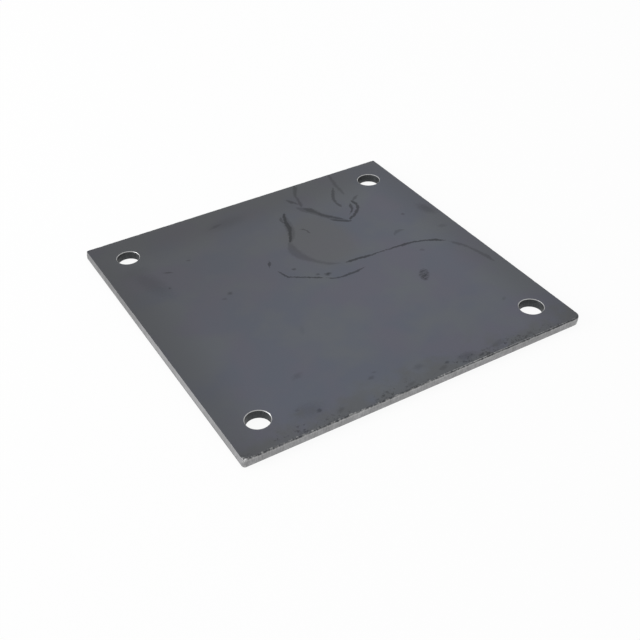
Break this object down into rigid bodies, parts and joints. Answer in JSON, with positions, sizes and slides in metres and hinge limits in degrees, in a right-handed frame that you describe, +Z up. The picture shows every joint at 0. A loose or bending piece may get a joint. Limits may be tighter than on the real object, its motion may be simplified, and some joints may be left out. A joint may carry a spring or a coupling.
{
  "type": "rectangular cover plate",
  "caption": "Square flat steel cover plate with sheared edges, worn corners and a plain bolt hole near each corner.",
  "frame": {"origin": "centre of the plate's bounding box on its underside", "axes": "+Z up through the thickness, +X along the edge from the front corner to the right corner, +Y along the edge from the front corner to the left corner"},
  "size_m": [0.254, 0.254, 0.0063],
  "materials": {
    "mill_scale_steel": "hot-rolled, dark blue-grey mill scale on both faces, brighter bare metal on the cut edges"
  },
  "bodies": {
    "root": {"plate": "mill_scale_steel"}
  },
  "joints": []
}
